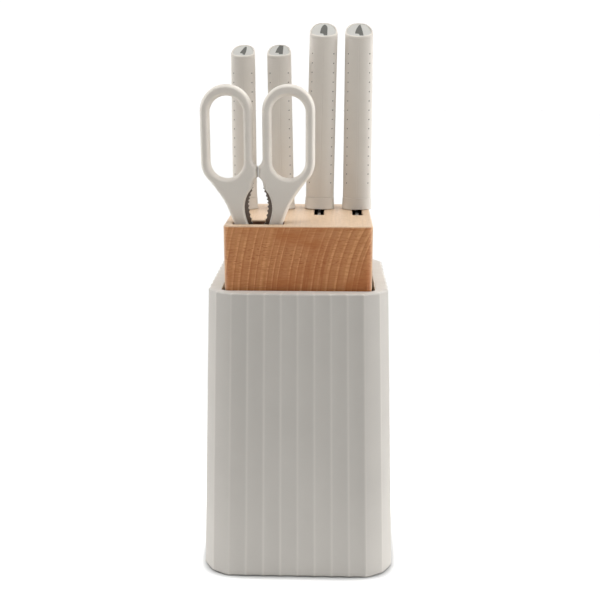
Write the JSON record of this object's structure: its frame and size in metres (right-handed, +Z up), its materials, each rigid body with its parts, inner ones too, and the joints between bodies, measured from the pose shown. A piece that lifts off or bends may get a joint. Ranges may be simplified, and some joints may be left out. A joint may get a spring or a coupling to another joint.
{
  "type": "knife block with knives",
  "caption": "Tapered square knife block: fluted plastic housing with a lift-out beech insert that holds upright kitchen knives and a pair of nutcracker scissors.",
  "frame": {"origin": "middle of the footprint, on the surface the block stands on (underside of the feet)", "axes": "+Z up along the block and its longest extent, -Y towards the front (the side with the scissors), +X to the right seen from the front"},
  "size_m": [0.133, 0.133, 0.3746],
  "materials": {
    "housing_plastic": "fine matte moulded, warm light grey",
    "base_plastic": "matte moulded, mid grey",
    "foot_rubber": "soft matte",
    "fastener_steel": "satin",
    "beech": "oiled beech, satin",
    "blade_steel": "fine brushed, ground edge",
    "handle_plastic": "satin moulded, warm light grey, dimpled flanks",
    "cap_plastic": "satin, pale grey",
    "jaw_steel": "brushed",
    "grip_plastic": "satin moulded, warm light grey"
  },
  "bodies": {
    "housing": {"housing_shell": "housing_plastic", "base_plate": "base_plastic", "foot_front_left": "foot_rubber", "foot_back_left": "foot_rubber", "foot_front_right": "foot_rubber", "foot_back_right": "foot_rubber", "base_screw_front_left": "fastener_steel", "base_screw_back_left": "fastener_steel", "base_screw_front_right": "fastener_steel", "base_screw_back_right": "fastener_steel"},
    "insert": {"wood_block": "beech"},
    "paring_knife": {"paring_knife_blade": "blade_steel", "paring_knife_collar": "handle_plastic", "paring_knife_handle": "handle_plastic", "paring_knife_end_cap": "cap_plastic"},
    "utility_knife": {"utility_knife_blade": "blade_steel", "utility_knife_collar": "handle_plastic", "utility_knife_handle": "handle_plastic", "utility_knife_end_cap": "cap_plastic"},
    "santoku_knife": {"santoku_knife_blade": "blade_steel", "santoku_knife_collar": "handle_plastic", "santoku_knife_handle": "handle_plastic", "santoku_knife_end_cap": "cap_plastic"},
    "chef_knife": {"chef_knife_blade": "blade_steel", "chef_knife_collar": "handle_plastic", "chef_knife_handle": "handle_plastic", "chef_knife_end_cap": "cap_plastic"},
    "scissors_pivot": {"scissors_pivot_screw": "fastener_steel", "scissors_pivot_nut": "fastener_steel"},
    "scissors_right": {"scissors_blade_right": "jaw_steel", "scissors_grip_right": "grip_plastic"},
    "scissors_left": {"scissors_blade_left": "jaw_steel", "scissors_grip_left": "grip_plastic"}
  },
  "joints": [
    {"name": "insert_lift", "type": "slide", "parent": "housing", "child": "insert", "axis": [0, 0, 1], "range_m": [0, 0.165]},
    {"name": "paring_knife_draw", "type": "slide", "parent": "insert", "child": "paring_knife", "axis": [0, 0, 1], "range_m": [0, 0.11]},
    {"name": "utility_knife_draw", "type": "slide", "parent": "insert", "child": "utility_knife", "axis": [-0.0157, 0, 0.9999], "range_m": [0, 0.13]},
    {"name": "santoku_knife_draw", "type": "slide", "parent": "insert", "child": "santoku_knife", "axis": [0.0192, 0, 0.9998], "range_m": [0, 0.18]},
    {"name": "chef_knife_draw", "type": "slide", "parent": "insert", "child": "chef_knife", "axis": [0, 0, 1], "range_m": [0, 0.205]},
    {"name": "scissors_lift", "type": "slide", "parent": "insert", "child": "scissors_pivot", "axis": [0, 0, 1], "range_m": [0, 0.3]},
    {"name": "scissors_right_open", "type": "hinge", "parent": "scissors_pivot", "child": "scissors_right", "pos_m": [-0.0267, -0.0339, 0.2297], "axis": [0, 1, 0], "range_deg": [0, 18]},
    {"name": "scissors_left_open", "type": "hinge", "parent": "scissors_pivot", "child": "scissors_left", "pos_m": [-0.0267, -0.0339, 0.2297], "axis": [0, -1, 0], "range_deg": [0, 18]}
  ],
  "couplings": [
    {"joint": "scissors_right_open", "follows": "scissors_lift", "rad_per_m": 1.0471},
    {"joint": "scissors_left_open", "follows": "scissors_lift", "rad_per_m": 1.0471}
  ]
}
